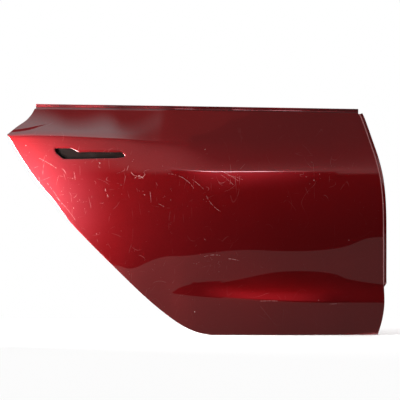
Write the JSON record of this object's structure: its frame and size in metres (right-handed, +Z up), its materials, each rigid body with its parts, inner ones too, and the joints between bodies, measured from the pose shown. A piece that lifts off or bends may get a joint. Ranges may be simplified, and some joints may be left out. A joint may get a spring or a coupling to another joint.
{
  "type": "car rear door shell",
  "caption": "Right rear door shell of a car with frameless windows: painted outer skin hemmed round a pressed inner panel with reinforcements, no glass, lock or handle.",
  "frame": {"origin": "centre of the flat upper hinge face on the front wall of the inner panel", "axes": "+X forward along the car, +Y into the car, +Z up; the painted outer surface faces -Y"},
  "size_m": [1.1358, 0.1647, 0.6925],
  "materials": {
    "skin_paint": "deep red metallic paint under glossy clear coat, finely scratched",
    "inner_paint": "body colour without polish",
    "coated_steel": "thin satin body colour over primed steel",
    "zinc": "zinc plated",
    "black_plastic": "fine grained",
    "mastic": "dull cured sealant"
  },
  "bodies": {
    "root": {"outer_skin": "skin_paint", "inner_panel": "inner_paint", "waist_rail_outer": "coated_steel", "waist_rail_inner": "coated_steel", "impact_beam": "coated_steel", "beam_bracket_front": "coated_steel", "beam_bracket_rear": "coated_steel", "skin_brace": "coated_steel", "handle_plate": "coated_steel", "hinge_plate_upper": "coated_steel", "hinge_plate_lower": "coated_steel", "check_plate": "coated_steel", "latch_plate": "coated_steel", "pull_bracket": "coated_steel", "hinge_nut_upper_a": "zinc", "hinge_nut_upper_b": "zinc", "hinge_nut_lower_a": "zinc", "hinge_nut_lower_b": "zinc", "check_nut_a": "zinc", "check_nut_b": "zinc", "latch_nut_1": "zinc", "latch_nut_2": "zinc", "latch_nut_3": "zinc", "handle_tray": "black_plastic", "mastic_pad_1": "mastic", "mastic_pad_2": "mastic", "mastic_pad_3": "mastic", "mastic_pad_4": "mastic"}
  },
  "joints": []
}
